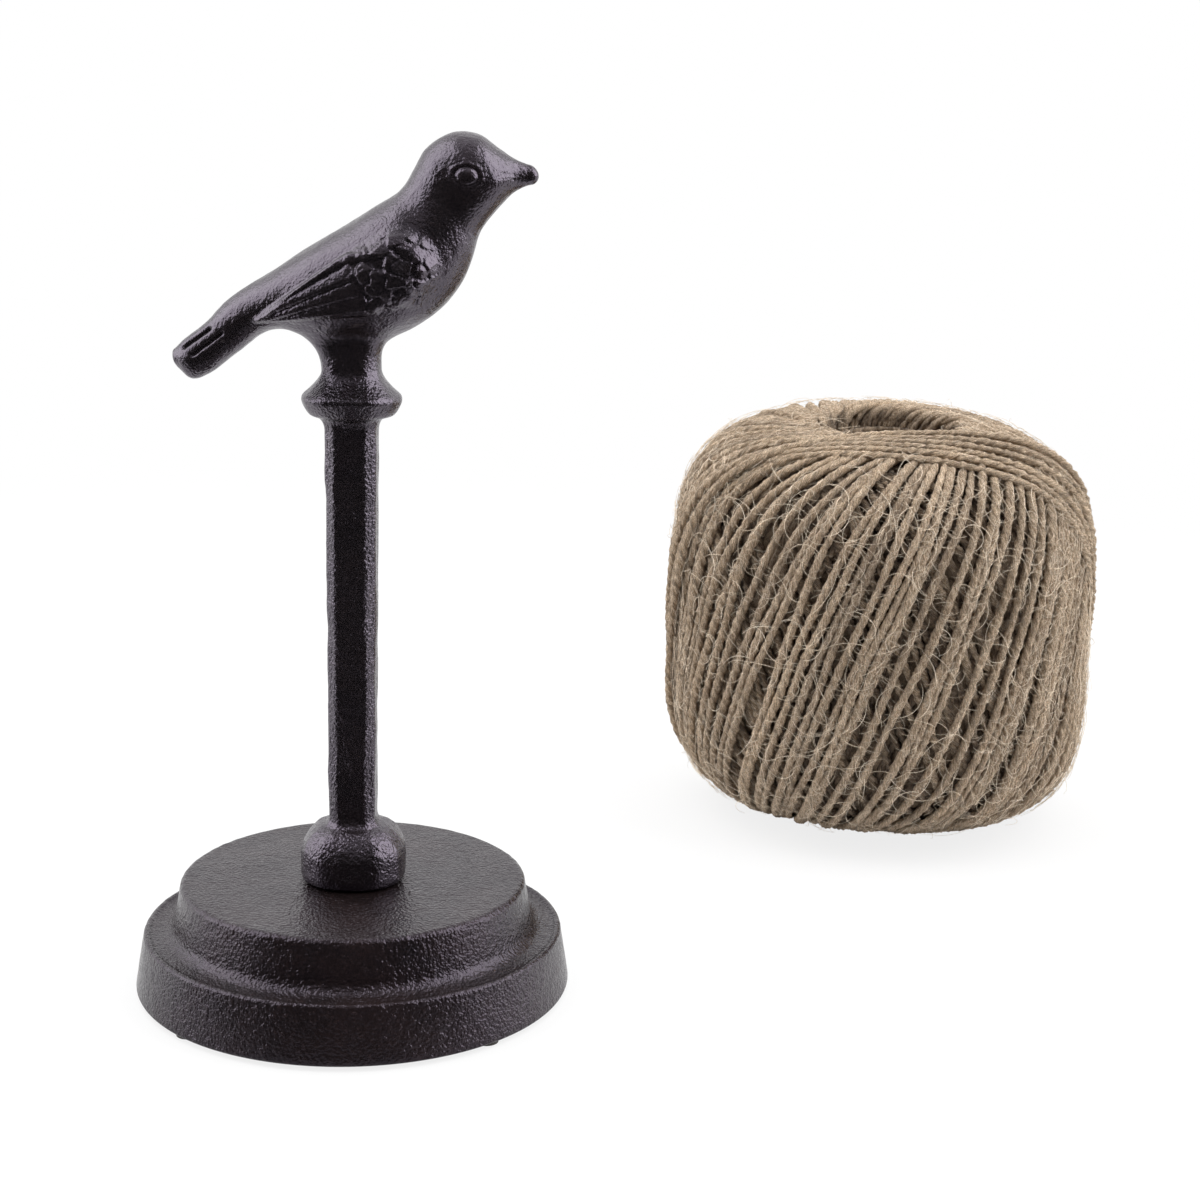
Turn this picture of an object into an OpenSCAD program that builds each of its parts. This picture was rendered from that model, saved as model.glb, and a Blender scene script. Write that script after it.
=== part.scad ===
// Bird string holder: a cast base, a bird spindle that screws into it, and a ball of twine beside them.
// Millimetres. Origin on the floor at the spindle's axis, +X towards the beak, +Z up.

/* [Base] */
// Diameter of the base at the floor
base_d = 110; // [108:1:130]
// Height of the base casting
base_h = 27.1; // [25:0.1:34]
// Height of the lower tier, up to its shoulder
lower_h = 14.6; // [9:0.1:16]
// How far the lower wall leans in, on each side
lower_taper = 2.1; // [0.5:0.1:3]
// Diameter of the top disc
upper_d = 87.4; // [70:0.1:88]
// How far the upper wall flares out towards the step, on each side
upper_flare = 1.4; // [0:0.1:2]
// Radius of the hollow curve between the two tiers
cove_r = 3.6; // [1:0.1:4]
// Radius of the bead on the shoulder
bead_r = 1; // [0.5:0.1:1.4]
// Rounding of the top disc's edge
top_edge_r = 1.6; // [0.5:0.1:3]
// Rounding of the edge at the floor
floor_edge_r = 0.8; // [0.3:0.1:2]
// Thickness of the casting
base_wall = 4.6; // [3:0.1:6]
// Width of the rim that the pads are glued to
rim_w = 7.4; // [6.6:0.1:10]
// Diameter of the tapped boss under the top
boss_d = 26; // [16:0.5:40]
// Length of the boss, from the top face down
boss_h = 17; // [13:0.5:20]

/* [Pads] */
// Diameter of a felt pad
pad_d = 6; // [4:0.5:6.5]
// Thickness of a felt pad
pad_t = 1; // [0.5:0.1:3]
// Number of felt pads
pad_count = 4; // [3:1:8]

/* [Stud] */
// Diameter of the stud over its thread
stud_d = 7.9; // [5:0.1:10]
// Length of the stud inside the base
stud_in_base = 12; // [8:0.5:12.5]
// Length of the stud inside the foot
stud_in_foot = 8.5; // [5:0.5:10]
// Radial clearance of the stud in its holes
stud_fit = 0.05; // [0.02:0.01:0.1]
// Clearance past the stud's upper end
stud_end_gap = 0.3; // [0.1:0.1:1]
// Bevel at both ends of the stud
stud_bevel = 0.8; // [0.2:0.1:1.5]

/* [Post] */
// Width of the foot across its flats
foot_w = 26.4; // [22:0.1:28]
// Height of the foot's upright sides
foot_h = 7.4; // [5:0.1:12]
// Height of the foot's domed top
foot_dome_h = 7; // [3:0.1:10]
// Rounding of the foot's lower edge
foot_edge_r = 2; // [0.6:0.1:3]
// Width of the post above the foot
post_low_w = 11.6; // [9:0.1:16]
// Width of the post below the collar
post_top_w = 12.6; // [9:0.1:16]
// Height from the base to the fillet under the collar
post_h = 114.2; // [90:0.1:160]
// Share of each side that stays flat between the chamfered corners
flat_share = 0.6; // [0.45:0.01:0.85]
// Radius of the fillet between the foot and the post
post_fillet = 1.6; // [0.5:0.1:2.5]

/* [Collar] */
// Width of the collar across its flats
collar_w = 24.5; // [22:0.1:32]
// Height of the fillet from the post to the collar
collar_under = 4; // [2:0.1:8]
// Height from the collar's underside to its widest line
collar_rim = 4.4; // [3:0.1:6]
// Height from the widest line to the neck
collar_flare = 6.6; // [4:0.1:10]
// Diameter of the neck
neck_d = 14.3; // [11:0.1:18]

/* [Bird] */
// Length of the bird from tail to beak
bird_len = 87.5; // [75:0.1:95]
// Width of the bird at its breast
bird_w = 30.2; // [24:0.1:36]
// How far a wing stands out from the body
wing_t = 1.3; // [0.4:0.1:2.5]
// Radius of the ring around the eye
eye_r = 2.8; // [2:0.1:3.4]
// Thickness of the ring around the eye
eye_ring_d = 1.3; // [0.8:0.1:1.8]
// Radius of the eye ball
eye_ball_r = 1.9; // [1.2:0.1:2.2]

/* [Twine ball] */
// Diameter of the ball
ball_d = 132; // [112:1:140]
// Height of the ball
ball_h = 126; // [110:1:130]
// Diameter of the hole through the ball
ball_bore = 29; // [27:0.5:30]
// Width of the lip around the hole
ball_lip = 2.4; // [1.5:0.1:2.6]
// Diameter of the twine
twine_d = 2.6; // [2:0.1:2.7]
// Clearance between crossing strands
twine_gap = 0.7; // [0.5:0.05:1.2]
// Clearance between the winding and the core
core_gap = 1.3; // [1.2:0.05:2]
// Loops in the outer layer
loops = 23; // [8:1:23]
// Distance of the ball from the spindle along X
ball_x = 150; // [135:1:220]
// Distance of the ball from the spindle along Y
ball_y = 152; // [60:1:180]

/* [Hidden] */
$fn = 72;

iron = "#2b2527";
felt = "#4a4640";
steel = "#8d8f92";
jute = "#a98d68";

base_r = base_d / 2;
upper_r = upper_d / 2;
shoulder_r = base_r - lower_taper;
base_top = pad_t + base_h;
shoulder_z = pad_t + lower_h;
rim_in_r = base_r - rim_w;
boss_bottom = base_top - boss_h;
pad_ring_r = base_r - floor_edge_r - (rim_w - floor_edge_r) / 2;
stud_hole_d = stud_d + 2 * stud_fit;
collar_z = base_top + post_h + collar_under;
neck_z = collar_z + collar_rim + collar_flare;
// The bird's datum lies a little below the top of the collar's flare
neck_lap = 2;
bird_z = neck_z - neck_lap;
// Length by which a cut runs past the face that it opens
past = 1;

function smooth(t) = let (c = min(max(t, 0), 1)) c * c * (3 - 2 * c);
function mix(a, b, t) = a + (b - a) * t;
// Points of an arc in a profile: centre, radius, start and end angle, number of steps
function arc(cx, cy, r, a0, a1, steps) =
    [for (i = [0:steps]) let (a = mix(a0, a1, i / steps)) [cx + r * cos(a), cy + r * sin(a)]];

// Outer profile of the base, from the floor up to the middle of the top
function base_outside() = concat(
    arc(base_r - floor_edge_r, pad_t + floor_edge_r, floor_edge_r, -90, 0, 4),
    arc(shoulder_r - bead_r, shoulder_z - bead_r, bead_r, 0, 140, 8),
    [[shoulder_r - 2.4 * bead_r, shoulder_z - 0.6 * bead_r]],
    arc(upper_r + upper_flare + cove_r, shoulder_z - 0.4 * bead_r + cove_r, cove_r, 270, 190, 8),
    arc(upper_r - top_edge_r, base_top - top_edge_r, top_edge_r, 10, 90, 6)
);

// Profile of the hollow under the base, from the rim in to the boss
function base_inside() = [
    [rim_in_r, pad_t - past],
    [rim_in_r, shoulder_z - base_wall],
    [upper_r + upper_flare - base_wall, shoulder_z - base_wall + cove_r],
    [upper_r - base_wall, base_top - base_wall - top_edge_r],
    [upper_r - base_wall - top_edge_r, base_top - base_wall],
    [boss_d / 2 + top_edge_r, base_top - base_wall],
    [boss_d / 2, base_top - base_wall - top_edge_r],
    [boss_d / 2, boss_bottom],
    [0, boss_bottom],
    [0, pad_t - past]
];

module base_casting() {
    color(iron)
    difference() {
        rotate_extrude() polygon(concat([[0, pad_t]], base_outside(), [[0, base_top]]));
        rotate_extrude() polygon(base_inside());
        translate([0, 0, boss_bottom - past]) cylinder(d = stud_hole_d, h = boss_h + 2 * past);
    }
}

module felt_pads() {
    color(felt)
    for (i = [0:pad_count - 1])
        rotate([0, 0, 360 * (i + 0.5) / pad_count])
            translate([pad_ring_r, 0, 0])
                cylinder(d = pad_d, h = pad_t);
}

module spindle_stud() {
    stud_r = stud_d / 2;
    bottom = base_top - stud_in_base;
    top = base_top + stud_in_foot;
    color(steel)
    rotate_extrude()
    polygon([
        [0, bottom], [stud_r - stud_bevel, bottom], [stud_r, bottom + stud_bevel],
        [stud_r, top - stud_bevel], [stud_r - stud_bevel, top], [0, top]
    ]);
}

// Post, collar and neck: a stack of rings. A ring is a square with chamfered corners, more or less rounded.
corner_a = atan(flat_share);
corner_turn = 1.7;
quarter = [0, corner_a / 2, corner_a - corner_turn, corner_a + corner_turn];
quarter_back = [for (i = [3:-1:1]) 90 - quarter[i]];
ring_angles = [for (q = [0:3]) for (a = concat(quarter, [45], quarter_back)) q * 90 + a];

function chamfered_r(a) =
    let (c = abs(cos(a)), s = abs(sin(a)))
    min(1 / max(c, s), (1 + flat_share) / (c + s));

// A level is [height, half width, how round it is from 0 to 1]
function level_ring(l) =
    [for (a = ring_angles) let (r = l[1] * mix(chamfered_r(a), 1, l[2])) [r * cos(a), r * sin(a), l[0]]];

// How round the foot is in plan, at its lower edge, at its sides and where the dome meets the post
foot_round = [0.85, 0.62, 0.3];
// The dome is flatter than a quarter ellipse
dome_power = 1.25;
fillet_stretch = 1.6;
fillet_round = 0.05;
function foot_levels() =
    let (w = foot_w / 2, e = foot_edge_r, z = base_top, p = post_low_w / 2, f = post_fillet)
    let (sides = z + foot_h, top = sides + foot_dome_h, k = dome_power)
    concat(
        [for (i = [0:4])
            let (a = 90 * i / 4)
            [z + e - e * cos(a), w - e + e * sin(a), mix(foot_round[0], foot_round[1], i / 4)]],
        [for (i = [0:7])
            let (a = 90 * i / 8, rounded = mix(foot_round[1], foot_round[2], i / 8))
            [sides + foot_dome_h * pow(sin(a), k), mix(p + f, w, pow(cos(a), k)), rounded]],
        [for (i = [0:4])
            let (a = 90 * i / 4, rounded = mix(foot_round[2], fillet_round, i / 4))
            [top + fillet_stretch * f * (1 - cos(a)), p + f * (1 - sin(a)), rounded]]
    );

// The collar is a fat lip over a fillet, with a hollow flare up to the neck. A lip point is
// [share of the height from the underside to the widest line, share of the half width].
collar_round = 0.4;
neck_round = 0.5;
under_share = 0.4;
flare_power = 1.5;
lip = [[0.11, 0.84], [0.32, 0.9], [0.6, 0.955], [0.82, 0.988], [1, 1], [1.12, 0.99], [1.22, 0.97]];
function collar_levels() =
    let (p = post_top_w / 2, w = collar_w / 2, n = neck_d / 2, z = collar_z)
    let (under = mix(p, w, under_share), lip_end = lip[len(lip) - 1])
    let (flare_z = z + collar_rim * lip_end[0], flare_r = w * lip_end[1])
    concat(
        [for (i = [0:4])
            let (a = 90 * i / 4, rounded = mix(fillet_round, collar_round, i / 4))
            [z - collar_under * (1 - sin(a)), mix(p, under, 1 - cos(a)), rounded]],
        [for (q = lip) [z + collar_rim * q[0], w * q[1], collar_round]],
        [for (i = [1:6])
            let (t = i / 6, rounded = mix(collar_round, neck_round, t))
            [mix(flare_z, neck_z, t), mix(n, flare_r, pow(1 - t, flare_power)), rounded]]
    );

// The neck widens into the belly on arcs: [radius, height above the bird's datum, share of a quarter turn]
neck_to_tail = [9.7, 2, 1];
neck_to_breast = [5.1, 5.6, 0.97];
neck_to_side = [5.1, 8.4, 0.88];
neck_heights = [3.5, 5, 6.5, 8, 9.3, 10.4, 11.2, 11.7, 12.8];
neck_inside = 16.3;
function widened(on, h) =
    let (t = min(max((h - on[1]) / on[0], 0), on[2]))
    neck_d / 2 + on[0] * (1 - sqrt(1 - t * t));
function neck_ring(h) =
    let (rounder = smooth(h / neck_inside))
    [for (a = ring_angles)
        let (along = widened(cos(a) < 0 ? neck_to_tail : neck_to_breast, h))
        let (k = mix(mix(chamfered_r(a), 1, neck_round), 1, rounder))
        [k * along * cos(a), k * widened(neck_to_side, h) * sin(a), bird_z + h]];

shank_rings = concat(
    [for (l = concat(foot_levels(), collar_levels())) level_ring(l)],
    [for (h = neck_heights) neck_ring(h)],
    [level_ring([bird_z + neck_inside, neck_d / 2, 1])]
);

// Side walls of a stack of rings with the same number of points, as triangles
function wall_faces(rings, sides) =
    [for (i = [0:rings - 2]) for (j = [0:sides - 1])
        let (a = i * sides + j, b = i * sides + (j + 1) % sides)
        each [[a, a + sides, b], [b, a + sides, b + sides]]];

module shank() {
    sides = len(ring_angles);
    rings = len(shank_rings);
    points = [for (r = shank_rings) each r];
    low = [for (j = [0:sides - 1]) j];
    high = [for (j = [sides - 1:-1:0]) (rings - 1) * sides + j];
    polyhedron(points, concat(wall_faces(rings, sides), [low, high]));
}

// The bird is a loft. A station is the top and the bottom of a section in the side view, measured from
// the bird's datum on the spindle's axis, and the section's half width at the drawn width.
bird_drawn_w = 30.2;
stations = [
    [-42.6, 6.4, -41.5, 1.7, 2.5],
    [-39.8, 9.2, -38.1, -0.8, 4.9],
    [-34.7, 13.2, -33.0, 1.4, 5.6],
    [-30.1, 18.0, -26.7, 6.4, 6.3],
    [-24.9, 21.8, -20.2, 11.0, 7.8],
    [-18.2, 26.0, -13.0, 11.6, 10.4],
    [-10.1, 31.5, -4.8, 9.6, 13.1],
    [-1.9, 36.4, 3.9, 9.2, 14.6],
    [5.2, 40.9, 11.9, 11.2, 15.1],
    [10.1, 43.9, 19.2, 15.4, 14.2],
    [11.9, 45.4, 25.1, 21.4, 12.5],
    [13.4, 47.3, 28.7, 28.9, 10.9],
    [15.2, 50.6, 30.5, 34.9, 10.1],
    [18.1, 55.3, 32.0, 37.6, 10.3],
    [24.1, 58.9, 33.9, 40.0, 10.5],
    [30.2, 58.6, 36.0, 42.5, 9.2],
    [34.9, 55.6, 37.9, 44.6, 6.5],
    [38.4, 53.3, 40.0, 46.0, 3.9],
    [41.8, 51.8, 42.3, 47.0, 2.4]
];
tail_tip = [-43, 4];
beak_tip = [44.5, 49.3];
bird_sides = 36;
bird_steps = 3;
// The wing is a tapered capsule in the side view: [x, z, radius] at the shoulder and at the tip
wing_shoulder = [12.5, 27.5, 10.7];
wing_tip = [-21.7, 14.6, 1.2];
wing_edge = 1.6;
eye_at = [28.6, 49.4];
// Half width of the head where the eye sits
eye_out = 9.6;

// A smooth curve through four neighbouring stations
function between(a, b, c, d, t) =
    0.5 * (2 * b + (c - a) * t + (2 * a - 5 * b + 4 * c - d) * t * t + (3 * b - a - 3 * c + d) * t * t * t);
function station_at(s) =
    let (last = len(stations) - 1, i = min(floor(s), last - 1))
    between(stations[max(i - 1, 0)], stations[i], stations[i + 1], stations[min(i + 2, last)], s - i);

// Signed distance to the wing's outline in the side view, below zero inside it
function wing_distance(x, z) =
    let (along = [wing_tip[0] - wing_shoulder[0], wing_tip[1] - wing_shoulder[1]])
    let (p = [x - wing_shoulder[0], z - wing_shoulder[1]])
    let (t = min(max(p * along / (along * along), 0), 1))
    norm(p - t * along) - mix(wing_shoulder[2], wing_tip[2], t);

function bird_section(s) =
    let (q = station_at(s), k = bird_w / bird_drawn_w)
    [for (j = [0:bird_sides - 1])
        let (a = 360 * j / bird_sides, up = cos(a), side = -sin(a))
        let (x = mix(q[2], q[0], (1 + up) / 2), z = mix(q[3], q[1], (1 + up) / 2))
        let (lift = wing_t * smooth(-wing_distance(x, z) / wing_edge) * min(1, 2.5 * abs(side)))
        [x, q[4] * k * side + sign(side) * lift, z]];

module bird_form() {
    rings = (len(stations) - 1) * bird_steps + 1;
    sides = bird_sides;
    points = concat(
        [for (i = [0:rings - 1]) each bird_section(i / bird_steps)],
        [[tail_tip[0], 0, tail_tip[1]], [beak_tip[0], 0, beak_tip[1]]]
    );
    tail = [for (j = [0:sides - 1]) [j, (j + 1) % sides, rings * sides]];
    beak = [for (j = [0:sides - 1])
        [(rings - 1) * sides + (j + 1) % sides, (rings - 1) * sides + j, rings * sides + 1]];
    polyhedron(points, concat(wall_faces(rings, sides), tail, beak));
}

module eye(side) {
    eye_y = eye_out * bird_w / bird_drawn_w;
    translate([eye_at[0], side * eye_y, eye_at[1]]) rotate([90, 0, 0]) {
        sphere(r = eye_ball_r, $fn = 24);
        rotate_extrude($fn = 32) translate([eye_r, 0]) circle(d = eye_ring_d, $fn = 16);
    }
}

module bird_spindle() {
    color(iron)
    difference() {
        union() {
            shank();
            translate([0, 0, bird_z]) resize([bird_len, 0, 0], auto = [true, false, true]) union() {
                bird_form();
                eye(-1);
                eye(1);
            }
        }
        translate([0, 0, base_top - past])
            cylinder(d = stud_hole_d, h = stud_in_foot + stud_end_gap + past);
    }
}

// The winding: loops that lean over the barrel from lip to lip, each turned on a little from the last.
// A rising half loop lies on the outer surface and a falling one under it. They change over at the lips.
loop_rings = 28;
twine_sides = 6;
turn_on = 360 / (loops + 1);
lean = 70;
lean_share = 0.75;
crowding = 0.3;
barrel_power = 3;
changeover = 14;
lip_depth = 3.4 * twine_d;
lip_from = 39;
lip_to = 68;
floor_cut = twine_d / 10;
strand_depth = twine_d + twine_gap;

// Height that the barrel needs for the strands at the lips to reach the ball's full height
barrel_a = (ball_d - twine_d) / 2;
barrel_b = barrel_z_share() * ((ball_h - twine_d) / 2 + floor_cut);
function barrel_z_share() =
    let (c = cos(lean) / sin(lean))
    pow(1 + pow(c, barrel_power), 1 / barrel_power);

// Point [r, z] of the barrel at a latitude, at a depth below the outer strands
function barrel(lat, depth) =
    let (c = cos(lat) / barrel_a, s = abs(sin(lat)) / barrel_b, q = barrel_power)
    let (k = pow(pow(c, q) + pow(s, q), -1 / q), up = sign(lat))
    let (nr = pow(k * c, q - 1) / barrel_a, nz = pow(k * s, q - 1) / barrel_b, n = norm([nr, nz]))
    [k * cos(lat) - depth * nr / n, up * (k * abs(sin(lat)) - depth * nz / n)];

// Depth of the falling strands, which lie deeper near the lips, where they pile up
function falling_depth(lat) =
    mix(strand_depth, lip_depth, smooth((abs(lat) - lip_from) / (lip_to - lip_from)));

// Angle around the axis of a loop at its own angle u, from 0 to 360
function loop_angle(u) =
    let (g = atan2(cos(lean) * sin(u), cos(u)))
    mix(g < -0.001 ? g + 360 : g, u, lean_share);

function falling_share(a) =
    a < 180 ? min(max((a - 90 + changeover) / (2 * changeover), 0), 1)
            : min(max((270 + changeover - a) / (2 * changeover), 0), 1);

// Point of the winding after t loops
function strand(t) =
    let (f = t - floor(t), u = 360 * f + crowding * 90 / PI * sin(720 * f))
    let (lat = asin(sin(lean) * sin(u)), a = loop_angle(u))
    let (p = barrel(lat, falling_share(a) * falling_depth(lat)), turn = a + turn_on * t)
    [p[0] * cos(turn), p[0] * sin(turn), p[1]];

// The strand's two ends turn in and stand square on the core
function strand_end(t) =
    let (p = strand(t), r = norm([p[0], p[1]]), inner = barrel_a - strand_depth - twine_d / 2)
    [inner * p[0] / r, inner * p[1] / r, p[2]];

strand_steps = loops * loop_rings;
strand_path = concat(
    [strand_end(0)],
    [for (i = [0:strand_steps]) strand(i / loop_rings)],
    [strand_end(loops)]
);

function unit(v) = v / norm(v);
function strand_ring(i) =
    let (last = len(strand_path) - 1, p = strand_path[i])
    let (t = unit(strand_path[min(i + 1, last)] - strand_path[max(i - 1, 0)]))
    let (side = unit(cross([0, 0, 1], t)), up = cross(t, side))
    [for (j = [0:twine_sides - 1])
        let (a = 360 * j / twine_sides, q = p + twine_d / 2 * (cos(a) * side + sin(a) * up))
        [q[0], q[1], max(q[2], -ball_h / 2)]];

// Least gap between strands, measured between loops on points along the runs
gap_points = [for (i = [0:strand_steps - 1]) each [
    strand(i / loop_rings),
    mix(strand(i / loop_rings), strand((i + 1) / loop_rings), 0.5)
]];
function nearest(p, i, from) = min([for (j = [from:len(p) - 1]) norm(p[i] - p[j])]);
function least_gap(p, apart) = min([for (i = [0:len(p) - apart - 1]) nearest(p, i, i + apart)]) - twine_d;

module twine_winding() {
    rings = len(strand_path);
    sides = twine_sides;
    points = [for (i = [0:rings - 1]) each strand_ring(i)];
    start = [for (j = [0:sides - 1]) j];
    finish = [for (j = [sides - 1:-1:0]) (rings - 1) * sides + j];
    echo(least_gap_between_strands = least_gap(gap_points, loop_rings / 2));
    color(jute)
    translate([ball_x, ball_y, ball_h / 2])
    polyhedron(points, concat(wall_faces(rings, sides), [start, finish]));
}

// The wound-up layers inside: a barrel under the outer layer, hollowed at both ends where the loops pile up
core_lats = [for (a = [0:4:lip_to]) a];
function core_upper() = [for (a = core_lats) barrel(a, falling_depth(a) + twine_d / 2 + core_gap)];

module twine_core() {
    lip_r = ball_bore / 2 + ball_lip;
    half = core_upper();
    floor_r = half[len(half) - 1];
    upper = concat(half, [[lip_r, floor_r[1]], [lip_r, ball_h / 2], [0, ball_h / 2]]);
    lower = [for (i = [len(upper) - 1:-1:1]) [upper[i][0], -upper[i][1]]];
    color(jute)
    translate([ball_x, ball_y, ball_h / 2])
    difference() {
        rotate_extrude() polygon(concat(lower, upper));
        translate([0, 0, -ball_h]) cylinder(d = ball_bore, h = 2 * ball_h);
    }
}

base_casting();
felt_pads();
spindle_stud();
bird_spindle();
twine_core();
twine_winding();
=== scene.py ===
import math

import bpy
import numpy as np
from mathutils import Matrix, Vector


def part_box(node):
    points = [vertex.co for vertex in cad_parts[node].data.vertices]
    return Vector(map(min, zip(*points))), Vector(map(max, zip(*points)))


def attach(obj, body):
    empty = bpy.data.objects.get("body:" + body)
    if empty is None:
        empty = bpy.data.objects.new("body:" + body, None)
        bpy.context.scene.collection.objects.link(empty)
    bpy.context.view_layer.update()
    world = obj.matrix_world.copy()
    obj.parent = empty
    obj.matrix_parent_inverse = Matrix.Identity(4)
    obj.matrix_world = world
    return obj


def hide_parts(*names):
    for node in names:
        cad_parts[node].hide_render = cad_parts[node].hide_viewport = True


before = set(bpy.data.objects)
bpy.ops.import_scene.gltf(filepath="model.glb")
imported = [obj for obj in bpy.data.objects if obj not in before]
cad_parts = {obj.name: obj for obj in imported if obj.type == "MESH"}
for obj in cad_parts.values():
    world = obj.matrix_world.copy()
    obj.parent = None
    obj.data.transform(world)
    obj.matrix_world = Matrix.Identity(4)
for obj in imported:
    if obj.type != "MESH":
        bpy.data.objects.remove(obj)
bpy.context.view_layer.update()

MM = 0.001
# Seeded sources of chance: one for the part, and one for the strokes on the post
rng = np.random.default_rng(4188)
post_rng = np.random.default_rng(31)

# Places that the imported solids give, in millimetres
base_low, base_high = (np.array(corner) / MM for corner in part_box("base_casting"))
stud_low, stud_high = (np.array(corner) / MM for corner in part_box("spindle_stud"))
core_low, core_high = (np.array(corner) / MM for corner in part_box("twine_core"))
winding_low, winding_high = (np.array(corner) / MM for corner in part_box("twine_winding"))
BASE_R = (base_high[0] - base_low[0]) / 2
BASE_TOP = base_high[2]
RIM_Z = base_low[2]
STUD_R = (stud_high[0] - stud_low[0]) / 2
BALL_MIDDLE = (core_low + core_high) / 2
BALL_H = core_high[2] - core_low[2]
BALL_D = winding_high[0] - winding_low[0]

# Sizes of the base casting, in millimetres
LOWER_H = 14.6
LOWER_TAPER = 2.1
UPPER_R = 43.7
UPPER_FLARE = 1.4
COVE_R = 3.6
BEAD_R = 1.0
TOP_EDGE_R = 1.6
FLOOR_EDGE_R = 0.8
BASE_WALL = 4.6
RIM_W = 7.4
BOSS_R = 13.0
BOSS_H = 17.0
BASE_SPACING, BASE_AROUND = 0.8, 480
HOLE_PLAY, HOLE_BEVEL = 0.05, 0.5
# How many waves are added up for slow and for fine unevenness
SLOW_WAVES, FINE_WAVES = 40, 60
# Waves that make the base uneven: height, wavelength and number; then where they fade out
BASE_WAVES = [(0.05, 21.0, SLOW_WAVES), (0.018, 3.6, FINE_WAVES)]
SEAT_MARGIN, SEAT_FADE, RIM_FADE = 3.0, 6.0, 2.0

# Sizes of the post and collar; roundness runs from 0 for a chamfered square to 1 for a circle
FOOT_W, FOOT_H, FOOT_DOME_H, FOOT_EDGE_R = 13.2, 7.4, 7.0, 2.0
FOOT_ROUND = (0.85, 0.62, 0.3)
DOME_POWER = 1.25
POST_LOW_W, POST_TOP_W, POST_H = 5.8, 6.3, 114.2
POST_FILLET, FILLET_STRETCH, FILLET_ROUND = 1.6, 1.6, 0.05
FLAT_SHARE = 0.6
COLLAR_W, COLLAR_UNDER, COLLAR_RIM, COLLAR_FLARE = 12.25, 4.0, 4.4, 6.6
COLLAR_ROUND, NECK_ROUND, UNDER_SHARE, FLARE_POWER = 0.8, 0.5, 0.4, 1.5
# Shares of the rim's height and of the collar's half width
LIP = [(0.11, 0.84), (0.32, 0.9), (0.6, 0.955), (0.82, 0.988), (1.0, 1.0), (1.12, 0.99), (1.22, 0.97)]
BEVEL_SHARE, BEVEL_POWER = 0.8, 3
NECK_R, NECK_INSIDE, NECK_LAP = 7.15, 16.3, 2.0
NECK_FROM, NECK_TO = 2.4, 12.6
DOME_TOP = BASE_TOP + FOOT_H + FOOT_DOME_H
COLLAR_Z = BASE_TOP + POST_H + COLLAR_UNDER
NECK_Z = COLLAR_Z + COLLAR_RIM + COLLAR_FLARE
BIRD_Z = NECK_Z - NECK_LAP
# The neck widens into the belly on arcs: radius, height above the bird's datum, share of a quarter turn
NECK_TO_TAIL, NECK_TO_BREAST, NECK_TO_SIDE = (9.7, 2.0, 1.0), (5.1, 5.6, 0.97), (5.1, 8.4, 0.88)

# Bird: top and bottom of each section in the side view, measured from the bird's datum, and its half width
STATIONS = np.array([
    [-42.6, 6.4, -41.5, 1.7, 2.5],
    [-39.8, 9.2, -38.1, -0.8, 4.9],
    [-34.7, 13.2, -33.0, 1.4, 5.6],
    [-30.1, 18.0, -26.7, 6.4, 6.3],
    [-24.9, 21.8, -20.2, 11.0, 7.8],
    [-18.2, 26.0, -13.0, 11.6, 10.4],
    [-10.1, 31.5, -4.8, 9.6, 13.1],
    [-1.9, 36.4, 3.9, 9.2, 14.6],
    [5.2, 40.9, 11.9, 11.2, 15.1],
    [10.1, 43.9, 19.2, 15.4, 14.2],
    [11.9, 45.4, 25.1, 21.4, 12.5],
    [13.4, 47.3, 28.7, 28.9, 10.9],
    [15.2, 50.6, 30.5, 34.9, 10.1],
    [18.1, 55.3, 32.0, 37.6, 10.3],
    [24.1, 58.9, 33.9, 40.0, 10.5],
    [30.2, 58.6, 36.0, 42.5, 9.2],
    [34.9, 55.6, 37.9, 44.6, 6.5],
    [38.4, 53.3, 40.0, 46.0, 3.9],
    [41.8, 51.8, 42.3, 47.0, 2.4],
])
TAIL_TIP = (-43.0, 4.0)
BEAK_TIP = (44.5, 49.3)
END_STEPS = (0.3, 0.55, 0.75, 0.9, 0.97)
WING_SHOULDER, WING_SHOULDER_R = np.array([12.5, 27.5]), 10.7
WING_TIP, WING_TIP_R = np.array([-21.7, 14.6]), 1.2
WING_T, WING_EDGE, SHOULDER_EDGE = 1.3, 1.9, 6.08
# Where the edge starts to sharpen behind the shoulder, and over what length
EDGE_FROM, EDGE_FADE = -1.0, 14.0
# Scales in rows and columns over the shoulder, then long feathers to the tip and a ridge along the upper edge
FIRST_ROW, ROW_STEP, ROWS = -8.6, 3.1, 7
COLUMN_STEP, COLUMNS = 4.0, range(-3, 4)
ROW_SHIFT, COLUMN_SHIFT, SCALE_TILT = 0.7, 0.75, 0.5
SCALE_R, SCALE_H, SCALE_EDGE, SCALE_GAP = (1.9, 3.0), (0.55, 1.35), 0.55, 0.4
QUILL_H, QUILL_W, WOBBLE_H, WOBBLE_L = 0.2, 0.4, 0.4, 3.4
SCALES_END, SCALES_FADE = 8.5, 4.0
LONG_FEATHERS, LONG_START, LONG_H, LONG_GROOVE = 2.2, 0.35, 0.55, 0.35
RIDGE_H, RIDGE_IN, RIDGE_W, RIDGE_FROM = 0.6, 1.2, 0.6, 6.0
EYE, EYE_HALF = np.array([28.0, 49.2]), np.array([3.7, 2.8])
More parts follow.
